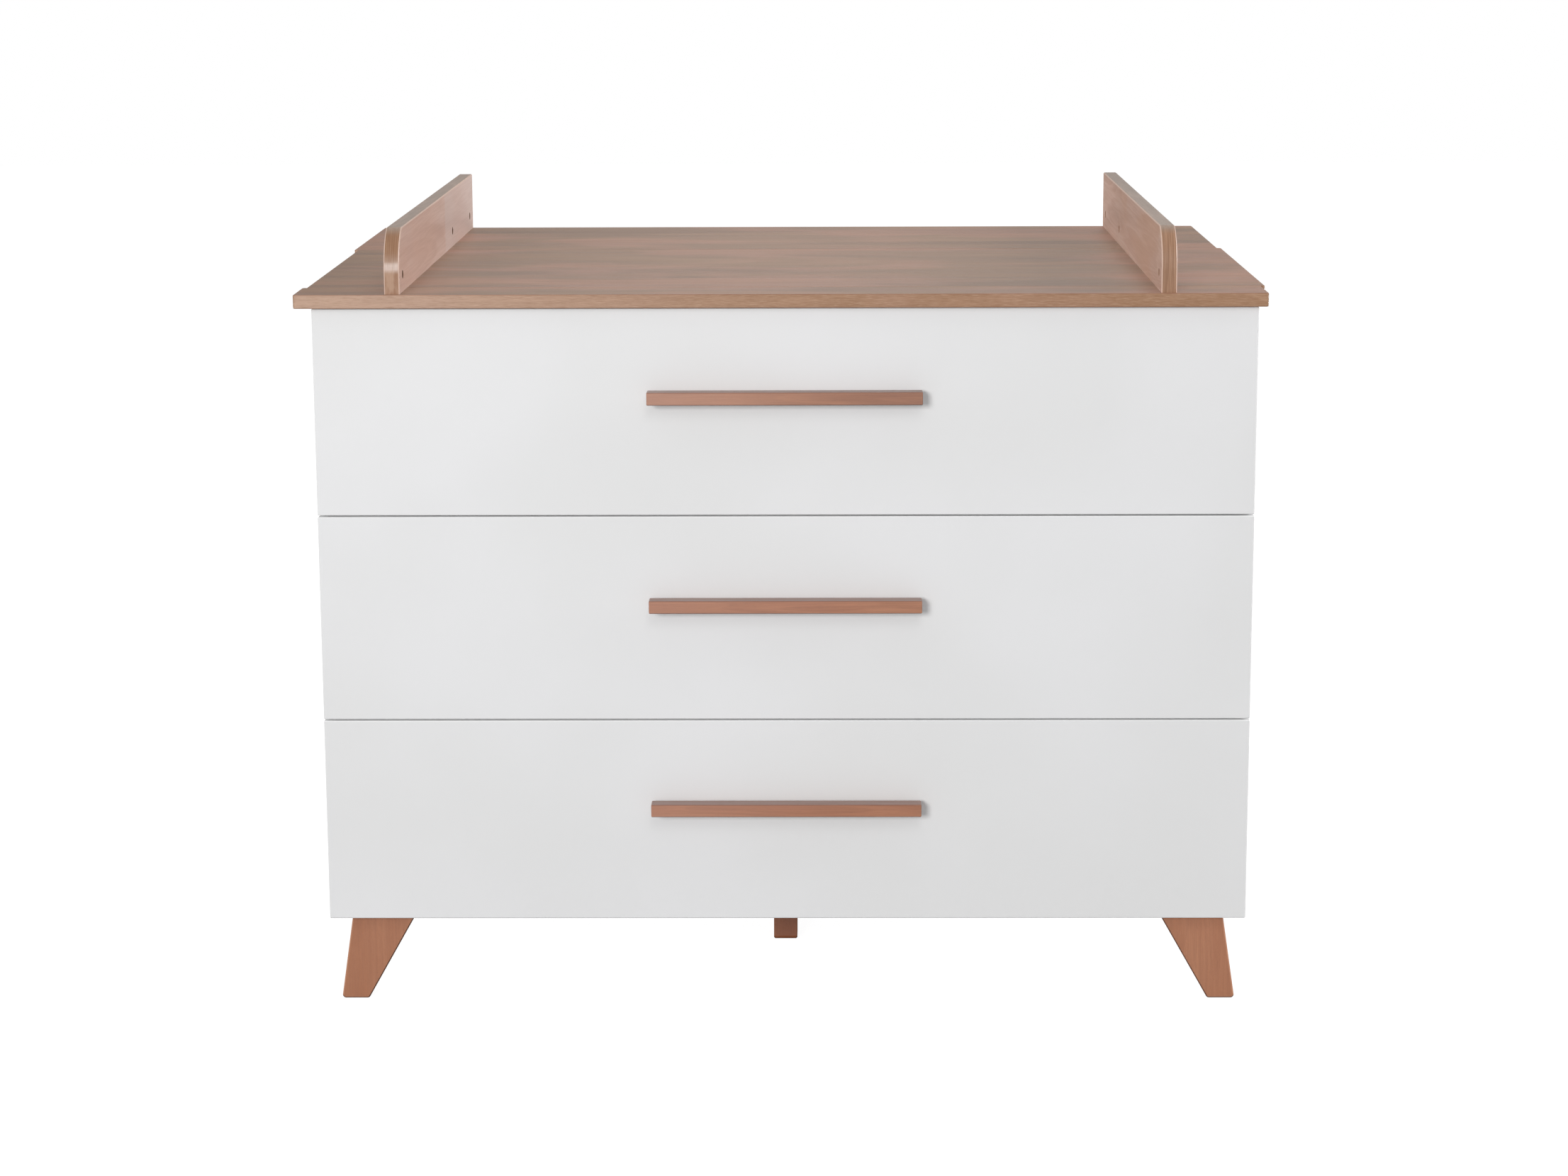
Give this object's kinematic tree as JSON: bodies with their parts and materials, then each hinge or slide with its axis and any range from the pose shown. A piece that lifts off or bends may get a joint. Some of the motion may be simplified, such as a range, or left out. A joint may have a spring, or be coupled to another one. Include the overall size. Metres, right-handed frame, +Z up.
{
  "type": "changing dresser",
  "caption": "Wide nursery dresser with full-width pull-out drawers on bar handles, splayed wooden legs and a railed changing top that overhangs its back.",
  "frame": {"origin": "on the floor under the centre of the whole outline, handle bars and overhanging rear board included", "axes": "+X to the dresser's right seen from the front, +Y to its rear, +Z up"},
  "size_m": [1.135, 0.781, 0.941],
  "materials": {
    "handle_metal": "satin",
    "oak_decor": "satin wood-grain decor on board",
    "stained_beech": "satin stained solid wood",
    "white_hardboard": "smooth painted face",
    "white_laminate": "smooth satin laminate",
    "white_plastic": "matt",
    "zinc_steel": "zinc plated"
  },
  "bodies": {
    "carcass": {"back_panel_joiner": "white_plastic", "bottom_panel": "white_laminate", "cabinet_runners_1": "zinc_steel", "cabinet_runners_2": "zinc_steel", "cabinet_runners_3": "zinc_steel", "centre_leg": "stained_beech", "dresser_top": "oak_decor", "front_left_leg": "stained_beech", "front_right_leg": "stained_beech", "front_strip": "oak_decor", "front_top_stretcher": "white_laminate", "left_back_panel": "white_hardboard", "left_rail": "oak_decor", "left_side_panel": "white_laminate", "rail_barrel_nuts": "zinc_steel", "rail_bolts": "zinc_steel", "rear_board": "oak_decor", "rear_board_brackets": "zinc_steel", "rear_left_leg": "stained_beech", "rear_right_leg": "stained_beech", "rear_top_stretcher": "white_laminate", "right_back_panel": "white_hardboard", "right_rail": "oak_decor", "right_side_panel": "white_laminate"},
    "drawer_1": {"drawer_1_back": "white_laminate", "drawer_1_floor": "white_hardboard", "drawer_1_front": "white_laminate", "drawer_1_handle_bar": "stained_beech", "drawer_1_handle_posts": "handle_metal", "drawer_1_left_side": "white_laminate", "drawer_1_right_side": "white_laminate", "drawer_1_runners": "zinc_steel"},
    "drawer_1_middle_members": {"middle_runners_1": "zinc_steel"},
    "drawer_2": {"drawer_2_back": "white_laminate", "drawer_2_floor": "white_hardboard", "drawer_2_front": "white_laminate", "drawer_2_handle_bar": "stained_beech", "drawer_2_handle_posts": "handle_metal", "drawer_2_left_side": "white_laminate", "drawer_2_right_side": "white_laminate", "drawer_2_runners": "zinc_steel"},
    "drawer_2_middle_members": {"middle_runners_2": "zinc_steel"},
    "drawer_3": {"drawer_3_back": "white_laminate", "drawer_3_floor": "white_hardboard", "drawer_3_front": "white_laminate", "drawer_3_handle_bar": "stained_beech", "drawer_3_handle_posts": "handle_metal", "drawer_3_left_side": "white_laminate", "drawer_3_right_side": "white_laminate", "drawer_3_runners": "zinc_steel"},
    "drawer_3_middle_members": {"middle_runners_3": "zinc_steel"}
  },
  "joints": [
    {"name": "drawer_1_slide", "type": "slide", "parent": "carcass", "child": "drawer_1", "axis": [0, -1, 0], "range_m": [0, 0.4]},
    {"name": "drawer_1_middle_slide", "type": "slide", "parent": "carcass", "child": "drawer_1_middle_members", "axis": [0, -1, 0], "range_m": [0, 0.2]},
    {"name": "drawer_2_slide", "type": "slide", "parent": "carcass", "child": "drawer_2", "axis": [0, -1, 0], "range_m": [0, 0.4]},
    {"name": "drawer_2_middle_slide", "type": "slide", "parent": "carcass", "child": "drawer_2_middle_members", "axis": [0, -1, 0], "range_m": [0, 0.2]},
    {"name": "drawer_3_slide", "type": "slide", "parent": "carcass", "child": "drawer_3", "axis": [0, -1, 0], "range_m": [0, 0.4]},
    {"name": "drawer_3_middle_slide", "type": "slide", "parent": "carcass", "child": "drawer_3_middle_members", "axis": [0, -1, 0], "range_m": [0, 0.2]}
  ],
  "couplings": [
    {"joint": "drawer_1_middle_slide", "follows": "drawer_1_slide", "ratio": 0.5},
    {"joint": "drawer_2_middle_slide", "follows": "drawer_2_slide", "ratio": 0.5},
    {"joint": "drawer_3_middle_slide", "follows": "drawer_3_slide", "ratio": 0.5}
  ]
}
